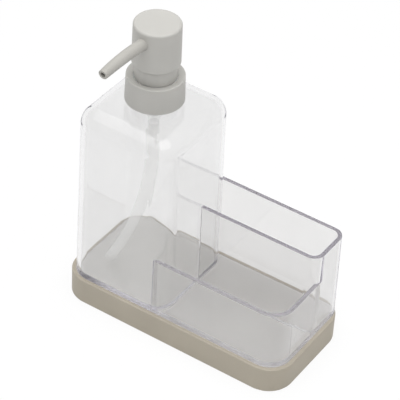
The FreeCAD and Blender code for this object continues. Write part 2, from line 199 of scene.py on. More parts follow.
floor = lay_floor()
print("floor", [round(side, 1) for side in floor.dimensions], "m")

# %% [markdown]
# Two lamps hang over the caddy. The large one gives the soft light and is kept out of reflections, where it would
# lay a white band on the shoulder of the bottle. The smaller one makes the single glint that shows there.

# %% Hang the lamps
LAMP_PLACE = (0.0, -0.10, 1.20)
LAMP_SIZE = 2.0
LAMP_POWER = 17.0
GLINT_PLACE = (0.20, -0.12, 1.15)
GLINT_SIZE = 1.2
GLINT_POWER = 3.4


def hang_lamp(name, place, size, power):
    """Square soft lamp that faces the caddy."""
    data = bpy.data.lights.new(name, "AREA")
    data.size = size
    data.energy = power
    lamp = bpy.data.objects.new(name, data)
    scene.collection.objects.link(lamp)
    lamp.location = place
    lamp.rotation_mode = "QUATERNION"
    lamp.rotation_quaternion = (VIEW_TARGET - Vector(place)).to_track_quat("-Z", "Y")
    return lamp


softbox = hang_lamp("top_softbox", LAMP_PLACE, LAMP_SIZE, LAMP_POWER)
softbox.visible_glossy = False
glint = hang_lamp("glint_softbox", GLINT_PLACE, GLINT_SIZE, GLINT_POWER)
print("lamps", softbox.name, softbox.data.energy, "W and", glint.name, round(glint.data.energy, 1), "W")

# %% [markdown]
# ## Satin nickel paint
# The base and the outside of the pump are moulded in plastic and sprayed with a fine nickel-coloured paint. Close
# up it has tiny bright flakes, a faint orange peel and a soft sheen. Two noises make it: a very fine one for the
# flakes and the bump, and a broad one for the slow change of tone that spraying leaves. The seat of the base, where
# the clear pieces stand, and the inside of its rim get a paler tone. It is painted light for the light that falls on
# these upward and inward faces, not a different coat. The seat looks up from below the rim, and the inside of the rim
# faces the middle, so normals and places tell these faces apart.

# %% Helpers for finishes
NOISE_LOW = 0.3
NOISE_HIGH = 0.7
BROAD_DETAIL = 2.0
FINE_DETAIL = 3.0


def new_finish(name):
    """Empty material, its node tree and its output."""
    material = bpy.data.materials.new(name)
    material.use_nodes = True
    tree = material.node_tree
    tree.nodes.clear()
    return material, tree, shader_node(tree, "OutputMaterial")


def grain(tree, size, detail=BROAD_DETAIL):
    """Noise whose patches are about this large, in metres."""
    place = shader_node(tree, "TexCoord")
    noise = shader_node(tree, "TexNoise", {"Scale": 1 / size, "Detail": detail})
    tree.links.new(place.outputs["Object"], noise.inputs["Vector"])
    return noise.outputs["Fac"]


def tones(tree, factor, low, high):
    """Colours between two tones, as a noise goes from its low to its high end."""
    ramp = shader_node(tree, "ValToRGB")
    ramp.color_ramp.elements[0].position = NOISE_LOW
    ramp.color_ramp.elements[1].position = NOISE_HIGH
    ramp.color_ramp.elements[0].color = (*low, 1)
    ramp.color_ramp.elements[1].color = (*high, 1)
    tree.links.new(factor, ramp.inputs[0])
    return ramp.outputs[0]


def spread(tree, factor, low, high):
    """Number between two values, as a noise goes from its low to its high end."""
    ends = {"From Min": NOISE_LOW, "From Max": NOISE_HIGH, "To Min": low, "To Max": high}
    span = shader_node(tree, "MapRange", ends)
    tree.links.new(factor, span.inputs["Value"])
    return span.outputs["Result"]


def relief(tree, factor, depth, strength):
    """Bump of a real depth, in metres, from a noise."""
    bump = shader_node(tree, "Bump", {"Strength": strength, "Distance": depth})
    tree.links.new(factor, bump.inputs["Height"])
    return bump.outputs["Normal"]


def mixed_half(tree, first, second):
    """Mean of two factors."""
    half = shader_node(tree, "Math", {1: 0.5}, operation="MULTIPLY")
    both = shader_node(tree, "Math", {1: 0.5}, operation="MULTIPLY_ADD")
    tree.links.new(first, half.inputs[0])
    tree.links.new(second, both.inputs[0])
    tree.links.new(half.outputs[0], both.inputs[2])
    return both.outputs[0]


# %% Tell the seat of the base from the rest, for its painted light
RIM_Z = 17.6 * MM
SEAT_FACING_LOW = 0.5
SEAT_FACING_HIGH = 0.9
SEAT_FADE_TOP = RIM_Z - 0.2 * MM
SEAT_FADE_END = RIM_Z - 0.9 * MM
INWARD_REACH = 5.0 * MM


def painted_light_share(tree):
    """1 on the seat of the base and on the inside of its rim, where light is painted, and 0 elsewhere."""
    place = shader_node(tree, "TexCoord")
    facing = shader_node(tree, "SeparateXYZ")
    where = shader_node(tree, "SeparateXYZ")
    level = shader_node(tree, "MapRange", {"From Min": SEAT_FACING_LOW, "From Max": SEAT_FACING_HIGH})
    low = shader_node(tree, "MapRange", {"From Min": SEAT_FADE_TOP, "From Max": SEAT_FADE_END})
    floor = shader_node(tree, "Math", operation="MULTIPLY")
    flat = shader_node(tree, "VectorMath", {1: (1, 1, 0)}, operation="MULTIPLY")
    inward = shader_node(tree, "VectorMath", operation="DOT_PRODUCT")
    inside = shader_node(tree, "MapRange", {"From Min": 0.0, "From Max": -INWARD_REACH})
    either = shader_node(tree, "Math", operation="MAXIMUM")
    tree.links.new(place.outputs["Normal"], facing.inputs[0])
    tree.links.new(place.outputs["Object"], where.inputs[0])
    tree.links.new(facing.outputs["Z"], level.inputs["Value"])
    tree.links.new(where.outputs["Z"], low.inputs["Value"])
    tree.links.new(level.outputs["Result"], floor.inputs[0])
    tree.links.new(low.outputs["Result"], floor.inputs[1])
    tree.links.new(place.outputs["Normal"], flat.inputs[0])
    tree.links.new(flat.outputs["Vector"], inward.inputs[0])
    tree.links.new(place.outputs["Object"], inward.inputs[1])
    tree.links.new(inward.outputs["Value"], inside.inputs["Value"])
    tree.links.new(floor.outputs[0], either.inputs[0])
    tree.links.new(inside.outputs["Result"], either.inputs[1])
    return either.outputs[0]


print("seat ends", round((RIM_Z - SEAT_FADE_END) / MM, 1), "mm below the rim")

# %% Mix the satin nickel
PAINT_SPREAD = 0.06
PAINT_FLAKE = 0.22 * MM
PAINT_DRIFT = 22.0 * MM
PAINT_METAL = 0.15
PAINT_SPECULAR = 0.25
PAINT_ROUGHNESS = (0.46, 0.58)
PAINT_RELIEF = 0.02 * MM
PAINT_RELIEF_SHARE = 0.25
PUMP_TONE = (0.480, 0.472, 0.447)
# Same paint as the pump, painted darker as shade against the light on the spout's upper side.
SPOUT_SHADED_TONE = (0.418, 0.408, 0.380)
# Same paint as the pump, painted darker and warmer as shade and warm reflection on the base's sides.
BASE_SHADED_TONE = (0.410, 0.372, 0.306)
# Paler tone painted on the seat and the inside of the rim, as the light that falls on those faces.
SEAT_PAINTED_LIGHT_TONE = (0.575, 0.568, 0.540)
MIX_FIRST_COLOUR = 6
MIX_SECOND_COLOUR = 7
MIX_COLOUR_OUT = 2


def coat(tree, drift, tone):
    """Colour of one coat, a little darker and lighter by turns."""
    dark = [channel * (1 - PAINT_SPREAD) for channel in tone]
    light = [channel * (1 + PAINT_SPREAD) for channel in tone]
    return tones(tree, drift, dark, light)


def satin_paint(name, tone, painted_light_tone=None):
    """Sprayed satin paint, with a paler tone painted on the seat as light where one is given."""
    material, tree, output = new_finish(name)
    flakes = grain(tree, PAINT_FLAKE, FINE_DETAIL)
    drift = mixed_half(tree, grain(tree, PAINT_DRIFT), flakes)
    colour = coat(tree, drift, tone)
    if painted_light_tone:
        blend = shader_node(tree, "Mix", data_type="RGBA")
        tree.links.new(painted_light_share(tree), blend.inputs["Factor"])
        tree.links.new(colour, blend.inputs[MIX_FIRST_COLOUR])
        tree.links.new(coat(tree, drift, painted_light_tone), blend.inputs[MIX_SECOND_COLOUR])
        colour = blend.outputs[MIX_COLOUR_OUT]
    body = shader_node(tree, "BsdfPrincipled", {"Metallic": PAINT_METAL, "Specular IOR Level": PAINT_SPECULAR})
    tree.links.new(colour, body.inputs["Base Color"])
    tree.links.new(spread(tree, flakes, *PAINT_ROUGHNESS), body.inputs["Roughness"])
    tree.links.new(relief(tree, flakes, PAINT_RELIEF, PAINT_RELIEF_SHARE), body.inputs["Normal"])
    tree.links.new(body.outputs[0], output.inputs["Surface"])
    return material


pump_nickel = satin_paint("pump_nickel", PUMP_TONE)
spout_nickel_shaded = satin_paint("spout_nickel_shaded", SPOUT_SHADED_TONE)
base_nickel_painted_light = satin_paint("base_nickel_painted_light", BASE_SHADED_TONE, SEAT_PAINTED_LIGHT_TONE)
print("paints", pump_nickel.name, spout_nickel_shaded.name, base_nickel_painted_light.name)

# %% [markdown]
# ## Clear plastic
# The bottle and the organiser are thick clear mouldings. Light bends as it enters and leaves a wall, and a rim looks
# dark because light runs down inside the wall and loses a little on the way. A real refracting shader on closed
# walls gives all of that by itself, with a faint violet absorption for the long ways. Shadow rays pass straight
# through, so that the lamp reaches what stands inside. The undersides are frosted, as the bottoms of such mouldings
# are, and so the foot of a wall glows softly where a polished one would be black.

# %% Mix the clear plastics
PLASTIC_IOR = 1.5
VIOLET_LOSS = (0.70, 0.675, 0.765, 1)
LAMP_PASS = (0.975, 0.975, 0.975, 1)
CLEAR_WAVE = 30.0 * MM
CLEAR_RELIEF = 0.1 * MM
CLEAR_RELIEF_SHARE = 0.15
UNDERSIDE_Z = 16.46 * MM
UNDERSIDE_FADE = 0.2 * MM
BOTTLE_TONES = ((0.900, 0.900, 0.896), (0.925, 0.925, 0.921))
BOTTLE_GLOSS = 0.04
BOTTLE_FROST = 0.24
BOTTLE_LOSS = 14.0
ORGANISER_TONES = ((0.871, 0.869, 0.860), (0.896, 0.894, 0.885))
ORGANISER_GLOSS = 0.01
ORGANISER_FROST = 0.50
ORGANISER_LOSS = 22.0


def frosted_foot(tree, gloss, frost):
    """Roughness of a clear piece: polished, but frosted on its underside."""
    place = shader_node(tree, "TexCoord")
    where = shader_node(tree, "SeparateXYZ")
    ends = {"From Min": UNDERSIDE_Z, "From Max": UNDERSIDE_Z + UNDERSIDE_FADE, "To Min": frost, "To Max": gloss}
    rough = shader_node(tree, "MapRange", ends)
    tree.links.new(place.outputs["Object"], where.inputs[0])
    tree.links.new(where.outputs["Z"], rough.inputs["Value"])
    return rough.outputs["Result"]


def clear_moulding(name, shades, gloss, frost, loss):
    """Refracting plastic that lets lamp light through."""
    material, tree, output = new_finish(name)
    wave = grain(tree, CLEAR_WAVE)
    body = shader_node(tree, "BsdfPrincipled", {"Transmission Weight": 1.0, "IOR": PLASTIC_IOR})
    tree.links.new(tones(tree, wave, *shades), body.inputs["Base Color"])
    tree.links.new(frosted_foot(tree, gloss, frost), body.inputs["Roughness"])
    tree.links.new(relief(tree, wave, CLEAR_RELIEF, CLEAR_RELIEF_SHARE), body.inputs["Normal"])
    through = shader_node(tree, "BsdfTransparent", {"Color": LAMP_PASS})
    path = shader_node(tree, "LightPath")
    shader = body.outputs[0]
    for ray in ("Is Diffuse Ray", "Is Shadow Ray"):
        mix = shader_node(tree, "MixShader")
        tree.links.new(path.outputs[ray], mix.inputs[0])
        tree.links.new(shader, mix.inputs[1])
        tree.links.new(through.outputs[0], mix.inputs[2])
        shader = mix.outputs[0]
    tree.links.new(shader, output.inputs["Surface"])
    volume = shader_node(tree, "VolumeAbsorption", {"Color": VIOLET_LOSS, "Density": loss})
    tree.links.new(volume.outputs[0], output.inputs["Volume"])
    return material


bottle_clear = clear_moulding("bottle_clear", BOTTLE_TONES, BOTTLE_GLOSS, BOTTLE_FROST, BOTTLE_LOSS)
organiser_clear = clear_moulding("organiser_clear", ORGANISER_TONES, ORGANISER_GLOSS, ORGANISER_FROST, ORGANISER_LOSS)
print("clear plastics", bottle_clear.name, organiser_clear.name)

# %% [markdown]
# ## Pump plastics, rubber and steel
# Inside the pump are natural and white mouldings, soft seals, a steel spring and two steel balls. Only the tail of
# the pump and its tube show, through the bottle. Natural plastic this thin is cloudy: part of the light goes
# straight through, and the rest makes it glow white. A low alpha on each of its thin walls gives that.

# %% Mix the white plastic and the rubbers
MATT_DRIFT = 6.0 * MM
MATT_GRAIN = 0.5 * MM
MATT_RELIEF = 0.02 * MM
MATT_RELIEF_SHARE = 0.2
SCATTER_DEPTH = 1.5 * MM
WHITE_TONES = ((0.80, 0.80, 0.785), (0.85, 0.85, 0.84))
WHITE_ROUGHNESS = (0.35, 0.5)
WHITE_SCATTER = 0.1
GASKET_TONES = ((0.70, 0.70, 0.68), (0.76, 0.76, 0.74))
PAD_TONES = ((0.52, 0.52, 0.50), (0.60, 0.60, 0.58))
RUBBER_ROUGHNESS = (0.6, 0.8)


def matt_moulding(name, shades, rough, scatter=0.0):
    """Moulded plastic or rubber, with some light scattered under its surface."""
    material, tree, output = new_finish(name)
    drift = grain(tree, MATT_DRIFT)
    fine = grain(tree, MATT_GRAIN, FINE_DETAIL)
    body = shader_node(tree, "BsdfPrincipled", {"Subsurface Weight": scatter, "Subsurface Scale": SCATTER_DEPTH})
    tree.links.new(tones(tree, drift, *shades), body.inputs["Base Color"])
    tree.links.new(spread(tree, fine, *rough), body.inputs["Roughness"])
    tree.links.new(relief(tree, fine, MATT_RELIEF, MATT_RELIEF_SHARE), body.inputs["Normal"])
    tree.links.new(body.outputs[0], output.inputs["Surface"])
    return material


white_plastic = matt_moulding("white_plastic", WHITE_TONES, WHITE_ROUGHNESS, WHITE_SCATTER)
gasket_rubber = matt_moulding("gasket_rubber", GASKET_TONES, RUBBER_ROUGHNESS)
pad_rubber = matt_moulding("pad_rubber", PAD_TONES, RUBBER_ROUGHNESS)
print("matt finishes", white_plastic.name, gasket_rubber.name, pad_rubber.name)

# %% Mix the cloudy plastics
CLOUD_DRIFT = 8.0 * MM
CLOUD_SPECULAR = 0.6
TUBE_TONES = ((0.96, 0.96, 0.95), (0.99, 0.99, 0.98))
TUBE_ROUGHNESS = (0.25, 0.4)
TUBE_ALPHA = 0.17
MILKY_TONES = ((0.95, 0.95, 0.94), (0.98, 0.98, 0.97))
MILKY_ROUGHNESS = (0.2, 0.35)
MILKY_ALPHA = 0.10


def cloudy_moulding(name, shades, rough, alpha):
    """Thin natural plastic that is partly see-through."""
    material, tree, output = new_finish(name)
    drift = grain(tree, CLOUD_DRIFT)
    body = shader_node(tree, "BsdfPrincipled", {"Alpha": alpha, "Specular IOR Level": CLOUD_SPECULAR})
    tree.links.new(tones(tree, drift, *shades), body.inputs["Base Color"])
    tree.links.new(spread(tree, drift, *rough), body.inputs["Roughness"])
    tree.links.new(body.outputs[0], output.inputs["Surface"])
    return material


tube_plastic = cloudy_moulding("tube_plastic", TUBE_TONES, TUBE_ROUGHNESS, TUBE_ALPHA)
milky_plastic = cloudy_moulding("milky_plastic", MILKY_TONES, MILKY_ROUGHNESS, MILKY_ALPHA)
print("cloudy finishes", tube_plastic.name, milky_plastic.name)

# %% Mix the steel
STEEL_GRAIN = 0.3 * MM
STEEL_TONES = ((0.58, 0.58, 0.59), (0.68, 0.68, 0.69))
STEEL_ROUGHNESS = (0.18, 0.32)


def bright_steel(name):
    """Drawn stainless wire and ground balls."""
    material, tree, output = new_finish(name)
    fine = grain(tree, STEEL_GRAIN, FINE_DETAIL)
    body = shader_node(tree, "BsdfPrincipled", {"Metallic": 1.0})
    tree.links.new(tones(tree, fine, *STEEL_TONES), body.inputs["Base Color"])
    tree.links.new(spread(tree, fine, *STEEL_ROUGHNESS), body.inputs["Roughness"])
    tree.links.new(body.outputs[0], output.inputs["Surface"])
    return material


steel = bright_steel("steel")
print("metal finish", steel.name)

# %% [markdown]
# ## Dress the CAD pieces
# Most pieces of the CAD model already have the shape of the real ones, and their normals come from the true
# surfaces, so they only need their finish. A CAD piece is never moved: its material slot is filled, and that is all.

# %% Give each CAD piece its finish
FINISHES = {
    "base_tray": base_nickel_painted_light,
    "collar_shell": pump_nickel,
    "pump_sleeve": pump_nickel,
    "head_shell": pump_nickel,
    "spout": spout_nickel_shaded,
    "bottle_body": bottle_clear,
    "bottle_bottom": bottle_clear,
    "caddy_walls": organiser_clear,
    "dip_tube": tube_plastic,
    "pump_housing": milky_plastic,
    "closure_cap": white_plastic,
    "chaplet": white_plastic,
    "pump_stem": white_plastic,
    "piston": white_plastic,
    "head_core": white_plastic,
    "neck_gasket": gasket_rubber,
    "foot_pads": pad_rubber,
    "inlet_ball": steel,
    "outlet_ball": steel,
    "return_spring": steel,
}
for piece, finish in FINISHES.items():
    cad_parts[piece].data.materials[0] = finish
print("dressed", len(FINISHES), "CAD pieces")

# %% [markdown]
# ## Skins through rings
# The bottle, the spout and the spring are all long forms with a changing outline. A ring of points for each station
# along the form, joined to the next ring by quads, gives clean closed walls, and clear plastic needs closed walls
# to bend light well. Where a flat face meets a rounding, one more ring close by keeps the shading of the flat flat.

# %% Helper that skins rings
SHARP_ANGLE = math.radians(35)


def skin(name, rings, joined, finish):
    """Mesh of quads through rings of points in millimetres, its ends capped, or joined to each other."""
    sides = len(rings[0])
    count = len(rings)
    points = [Vector(point) * MM for ring in rings for point in ring]
    faces = []
    for row in range(count if joined else count - 1):
        low = row * sides
        high = (row + 1) % count * sides
        for side in range(sides):
            after = (side + 1) % sides
            faces.append((low + side, low + after, high + after, high + side))
    if not joined:
        faces.append(tuple(reversed(range(sides))))
        faces.append(tuple(range((count - 1) * sides, count * sides)))
    mesh = bpy.data.meshes.new(name)
    mesh.from_pydata(points, [], faces)
    mesh.shade_smooth()
    mesh.set_sharp_from_angle(angle=SHARP_ANGLE)
    mesh.materials.append(finish)
    piece = bpy.data.objects.new(name, mesh)
    scene.collection.objects.link(piece)
    return piece


def turns(steps, first=0.0, last=90.0):
    """Sines and cosines of even steps between two angles in degrees, both ends included."""
    angles = [math.radians(first + (last - first) * step / steps) for step in range(steps + 1)]
    return [(math.sin(angle), math.cos(angle)) for angle in angles]


def between(first, second, share):
    """Ring part of the way from one ring to another."""
    return [Vector(a).lerp(Vector(b), share) for a, b in zip(first, second)]


print("edges stay sharp from", round(math.degrees(SHARP_ANGLE)), "degrees")

# %% [markdown]
# ## Bottle
# In the CAD model the bottle is a shell and a plate, with a hair's breadth of air in the seam. On the real bottle
# the two are welded, and light runs from the wall into the floor without a break. So the bottle is skinned here as
# one closed wall: up the outside, over the shoulder and the neck, and down the inside to the floor. The neck also
# gets the screw thread that the CAD model leaves out.

# %% Outline of the bottle
PUMP_X = -41.35
SEAT_Z = 16.4
BOTTLE_LENGTH = 71.4
BOTTLE_DEPTH = 72.5
BOTTLE_CORNER = 14.0
BOTTLE_DRAFT = 0.013
LEAST_CORNER = 0.2
CORNER_STEPS = 16
SIDE_STEPS = 14


def bottle_ring(inset, z):
    """Outline of the bottle at a height, drawn in by an inset."""
    shrink = inset + BOTTLE_DRAFT * (z - SEAT_Z)
    half_x = BOTTLE_LENGTH / 2 - shrink
    half_y = BOTTLE_DEPTH / 2 - shrink
    radius = max(BOTTLE_CORNER - shrink, LEAST_CORNER)
    corners = []
    for quarter, (side_x, side_y) in enumerate(((1, -1), (1, 1), (-1, 1), (-1, -1))):
        centre = Vector((PUMP_X + side_x * (half_x - radius), side_y * (half_y - radius), z))
        arc = []
        for step in range(CORNER_STEPS + 1):
            angle = math.radians(90 * (quarter - 1 + step / CORNER_STEPS))
            arc.append(centre + Vector((math.cos(angle), math.sin(angle), 0)) * radius)
        corners.append(arc)
    ring = []
    for arc, after in zip(corners, corners[1:] + corners[:1]):
        ring += arc
        ring += [arc[-1].lerp(after[0], step / SIDE_STEPS) for step in range(1, SIDE_STEPS)]
    return ring


ANGLES = [math.atan2(point.y, point.x - PUMP_X) % (2 * math.pi) for point in bottle_ring(0, SEAT_Z)]
print("points round the bottle", len(ANGLES))

# %% Thread on the neck
NECK_RADIUS = 13.0
THREAD_PITCH = 4.2
THREAD_LOW = 148.4
THREAD_TURNS = 1.6
THREAD_HEIGHT = 0.75
THREAD_FOOT = 2.2
THREAD_CREST = 0.9
THREAD_FADE = 0.12


def thread_rise(angle, z):
    """How far the thread stands out of the neck at an angle and a height."""
    share = angle / (2 * math.pi)
    turn = round((z - THREAD_LOW) / THREAD_PITCH - share)
    off = abs(z - THREAD_LOW - (turn + share) * THREAD_PITCH)
    flank = (THREAD_FOOT / 2 - off) / (THREAD_FOOT / 2 - THREAD_CREST / 2)
    along = turn + share
    fade = min(along, THREAD_TURNS - along) / THREAD_FADE
    return THREAD_HEIGHT * max(0.0, min(1.0, flank)) * max(0.0, min(1.0, fade))


def neck_ring(radius, z, threaded=False):
    """Circle about the pump's axis, with the thread on it where asked."""
    ring = []
    for angle in ANGLES:
        reach = radius + (thread_rise(angle, z) if threaded else 0.0)
        ring.append(Vector((PUMP_X + reach * math.cos(angle), reach * math.sin(angle), z)))
    return ring


print("neck thread turns", THREAD_TURNS, "pitch", THREAD_PITCH, "mm")

# %% Outside of the bottle
BOTTLE_LOW_Z = 16.45
BOTTLE_FOOT_EDGE = 0.3
SHOULDER_Z = 142.3
SHOULDER_RADIUS = 11.5
NECK_ROOT = 0.6
NECK_TOP_Z = 157.7
NECK_EDGE = 0.4
NEAR = 0.4
MIDDLE_Z = 75.0
HALFWAY = 0.5
THREAD_STEP = 0.3
EDGE_STEPS = 4
ROOT_STEPS = 7
SHOULDER_STEPS = 16


def bottle_outside():
    """Rings from the underside up to the neck's rim."""
    rings = [bottle_ring(BOTTLE_FOOT_EDGE + NEAR, BOTTLE_LOW_Z)]
    for sine, cosine in turns(EDGE_STEPS):
        rings.append(bottle_ring(BOTTLE_FOOT_EDGE * (1 - sine), BOTTLE_LOW_Z + BOTTLE_FOOT_EDGE * (1 - cosine)))
    wall_top = SHOULDER_Z - SHOULDER_RADIUS
    rings += [bottle_ring(0, z) for z in (BOTTLE_LOW_Z + BOTTLE_FOOT_EDGE + NEAR, MIDDLE_Z, wall_top - NEAR)]
    for sine, cosine in turns(SHOULDER_STEPS):
        rings.append(bottle_ring(SHOULDER_RADIUS * (1 - cosine), wall_top + SHOULDER_RADIUS * sine))
    deck_edge = bottle_ring(SHOULDER_RADIUS + NEAR, SHOULDER_Z)
    root_edge = neck_ring(NECK_RADIUS + NECK_ROOT + NEAR, SHOULDER_Z)
    rings += [deck_edge, between(deck_edge, root_edge, HALFWAY), root_edge]
    for sine, cosine in turns(ROOT_STEPS):
        rings.append(neck_ring(NECK_RADIUS + NECK_ROOT * (1 - sine), SHOULDER_Z + NECK_ROOT * (1 - cosine)))
    z = SHOULDER_Z + NECK_ROOT + NEAR
    while z < NECK_TOP_Z - NECK_EDGE:
        rings.append(neck_ring(NECK_RADIUS, z, True))
        z += THREAD_STEP
    for sine, cosine in turns(EDGE_STEPS):
        rings.append(neck_ring(NECK_RADIUS - NECK_EDGE * (1 - cosine), NECK_TOP_Z - NECK_EDGE * (1 - sine)))
    return rings


outside = bottle_outside()
print("rings up the outside", len(outside))

# %% Inside of the bottle
BOTTLE_FLOOR_Z = 19.85
BOTTLE_WALL = 2.6
BOTTLE_FLOOR_EDGE = 0.5
NECK_BORE = 10.3
BORE_EDGE = 0.8
FLOOR_EDGE_STEPS = 5


def bottle_inside():
    """Rings from the neck's rim down to the floor."""
    rings = []
    for sine, cosine in turns(EDGE_STEPS):
        rings.append(neck_ring(NECK_BORE + NECK_EDGE * (1 - sine), NECK_TOP_Z - NECK_EDGE * (1 - cosine)))
    ceiling = SHOULDER_Z - BOTTLE_WALL
    rings += [neck_ring(NECK_BORE, z) for z in (NECK_TOP_Z - NECK_EDGE - NEAR, ceiling + BORE_EDGE + NEAR)]
    for sine, cosine in turns(EDGE_STEPS):
        rings.append(neck_ring(NECK_BORE + BORE_EDGE * (1 - cosine), ceiling + BORE_EDGE * (1 - sine)))
    bore_edge = neck_ring(NECK_BORE + BORE_EDGE + NEAR, ceiling)
    deck_edge = bottle_ring(SHOULDER_RADIUS + NEAR, ceiling)
    rings += [bore_edge, between(bore_edge, deck_edge, HALFWAY), deck_edge]
    radius = SHOULDER_RADIUS - BOTTLE_WALL
    wall_top = ceiling - radius
    for sine, cosine in turns(SHOULDER_STEPS, 90, 0):
        rings.append(bottle_ring(BOTTLE_WALL + radius * (1 - cosine), wall_top + radius * sine))
    wall_low = BOTTLE_FLOOR_Z + BOTTLE_FLOOR_EDGE
    rings += [bottle_ring(BOTTLE_WALL, z) for z in (wall_top - NEAR, MIDDLE_Z, wall_low + NEAR)]
    for sine, cosine in turns(FLOOR_EDGE_STEPS):
        rings.append(bottle_ring(BOTTLE_WALL + BOTTLE_FLOOR_EDGE * (1 - cosine), wall_low - BOTTLE_FLOOR_EDGE * sine))
    rings.append(bottle_ring(BOTTLE_WALL + BOTTLE_FLOOR_EDGE + NEAR, BOTTLE_FLOOR_Z))
    return rings


inside = bottle_inside()
print("rings down the inside", len(inside))

# %% Skin the bottle
bottle = skin("bottle", outside + inside, False, bottle_clear)
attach(bottle, "caddy")
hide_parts("bottle_body", "bottle_bottom")
print("bottle faces", len(bottle.data.polygons))

# %% [markdown]
# ## Organiser
# The organiser's walls are right in the CAD model, apart from one corner. Where the low front wall turns, light that
# comes through the outer rounding has to get out again through the inner one, and a tight inner rounding holds it
# back as a dark stripe. The real corner has no such stripe, so its inside must be rounder. A copy of the CAD piece
# gets that: the points of the inner rounding move to a larger one, and every normal stays as the CAD gave it,
# because each point goes on facing the same way. The free end of the divider is rounded on the real piece and shows
# as a dark line, while the CAD end is flat. Turning the normals across that narrow face bends light the same way.

# %% Round the inside of the low front corner
LOW_ROOM_CORNER = Vector((73.91, -33.11))
CAD_CORNER_RADIUS = 9.3
EASED_CORNER_RADIUS = 12.2
CORNER_BAND = 0.4
NEAR_ZERO = 0.001


def corner_centre(radius):
    """Centre of a rounding of the low room's front corner."""
    return LOW_ROOM_CORNER + Vector((-radius, radius))


def ease_corner(mesh):
    """Move the points of the inner rounding, and of the edges along it, to the larger rounding."""
    old_centre = corner_centre(CAD_CORNER_RADIUS)
    new_centre = corner_centre(EASED_CORNER_RADIUS)
    moved = 0
    for point in mesh.vertices:
        arm = Vector((point.co.x, point.co.y)) / MM - old_centre
        off = arm.length - CAD_CORNER_RADIUS
        if arm.x > -NEAR_ZERO and arm.y < NEAR_ZERO and abs(off) < CORNER_BAND:
            place = new_centre + arm.normalized() * (EASED_CORNER_RADIUS + off)
            point.co.x = place.x * MM
            point.co.y = place.y * MM
            moved += 1
    return moved


print("low front corner eased from", CAD_CORNER_RADIUS, "to", EASED_CORNER_RADIUS, "mm")

# %% Round the free end of the divider
DIVIDER_MIDDLE_Y = 3.8
DIVIDER_HALF = 1.3
DIVIDER_END_X = -5.4
DIVIDER_END_FACING = -0.9
DIVIDER_END_TURN = math.radians(60)


def round_divider_end(mesh, normals):
    """Turn the normals of the divider's end face from one side to the other, as on a rounded end."""
    turned = 0
    for face in mesh.polygons:
        middle = face.center / MM
        at_end = face.normal.x < DIVIDER_END_FACING and middle.x < DIVIDER_END_X
        if at_end and abs(middle.y - DIVIDER_MIDDLE_Y) < DIVIDER_HALF:
            for corner in face.loop_indices:
                off = mesh.vertices[mesh.loops[corner].vertex_index].co.y / MM - DIVIDER_MIDDLE_Y
                angle = DIVIDER_END_TURN * off / DIVIDER_HALF
                normals[corner] = (-math.cos(angle), math.sin(angle), 0.0)
                turned += 1
    return turned


print("divider end turns", round(math.degrees(DIVIDER_END_TURN)), "degrees to each side")

# %% Copy the organiser
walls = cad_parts["caddy_walls"].data.copy()
walls.name = "organiser"
cad_normals = [tuple(corner.vector) for corner in walls.corner_normals]
corner_points = ease_corner(walls)
end_corners = round_divider_end(walls, cad_normals)
walls.normals_split_custom_set(cad_normals)
organiser = bpy.data.objects.new("organiser", walls)
scene.collection.objects.link(organiser)
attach(organiser, "caddy")
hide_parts("caddy_walls")
print("organiser faces", len(walls.polygons), "corner points", corner_points, "end", end_corners)

# %% [markdown]
# ## Spout
# The real spout is thickest a little way out of the head and thins towards its tip, and its mouth has softened
# edges. The CAD spout is a plain bent rod. This one follows the same line, a straight root and one long bend, and
# is skinned from its root along the outside, round the mouth and back through the bore.

# %% Line of the spout
SPOUT_Z = 190.3
SPOUT_HEADING = math.radians(268.0)
SPOUT_RISE = math.radians(4.2)
SPOUT_ROOT = 8.0
SPOUT_STRAIGHT = 16.0
SPOUT_BEND = 165.0
SPOUT_BEND_ANGLE = math.radians(12.05)
SPOUT_SIDES = 48
SPOUT_LENGTH = SPOUT_STRAIGHT + SPOUT_BEND * SPOUT_BEND_ANGLE

spout_out = Vector((math.cos(SPOUT_HEADING) * math.cos(SPOUT_RISE), math.sin(SPOUT_HEADING) * math.cos(SPOUT_RISE),
                    math.sin(SPOUT_RISE)))
spout_down = (spout_out * spout_out.z - Vector((0, 0, 1))).normalized()


def spout_frame(reach):
    """Centre, direction and upward direction of the spout at a reach along its line from the pump's axis."""
    straight = min(reach, SPOUT_STRAIGHT)
    bend = max(reach - SPOUT_STRAIGHT, 0) / SPOUT_BEND
    centre = Vector((PUMP_X, 0, SPOUT_Z)) + spout_out * (straight + SPOUT_BEND * math.sin(bend))
    centre += spout_down * SPOUT_BEND * (1 - math.cos(bend))
    direction = spout_out * math.cos(bend) + spout_down * math.sin(bend)
    return centre, direction, spout_out * math.sin(bend) - spout_down * math.cos(bend)


def spout_ring(reach, radius):
    """Circle across the spout's line."""
    centre, direction, up = spout_frame(reach)
    across = up.cross(direction)
    ring = []
    for side in range(SPOUT_SIDES):
        angle = 2 * math.pi * side / SPOUT_SIDES
        ring.append(centre + (across * math.cos(angle) + up * math.sin(angle)) * radius)
    return ring


print("spout length along its line", round(SPOUT_LENGTH, 1), "mm")

# %% Skin the spout
HEAD_RADIUS = 14.3
SPOUT_BORE = 1.75
MOUTH_BORE = 1.65
MOUTH_DEPTH = 4.0
MOUTH_EDGE = 0.3
MOUTH_INNER_EDGE = 0.25
SPOUT_RADIUS = 3.46
SPOUT_SWELL = 0.80
SPOUT_TAPER = 1.28
SPOUT_FLARE = 0.45
SPOUT_FLARE_REACH = 0.8
SPOUT_STATIONS = 60
BORE_STRIDE = 3
LIP_STEPS = 5
MOUTH_STEPS = 4


def spout_radius(reach):
    """Outer radius of the spout: a small flare at the head, then a slight swell and a long taper."""
    out = max(0.0, reach - HEAD_RADIUS)
    share = out / (SPOUT_LENGTH - HEAD_RADIUS)
    flare = SPOUT_FLARE * math.exp(-out / SPOUT_FLARE_REACH)
    return SPOUT_RADIUS + SPOUT_SWELL * share - SPOUT_TAPER * share ** 2 + flare


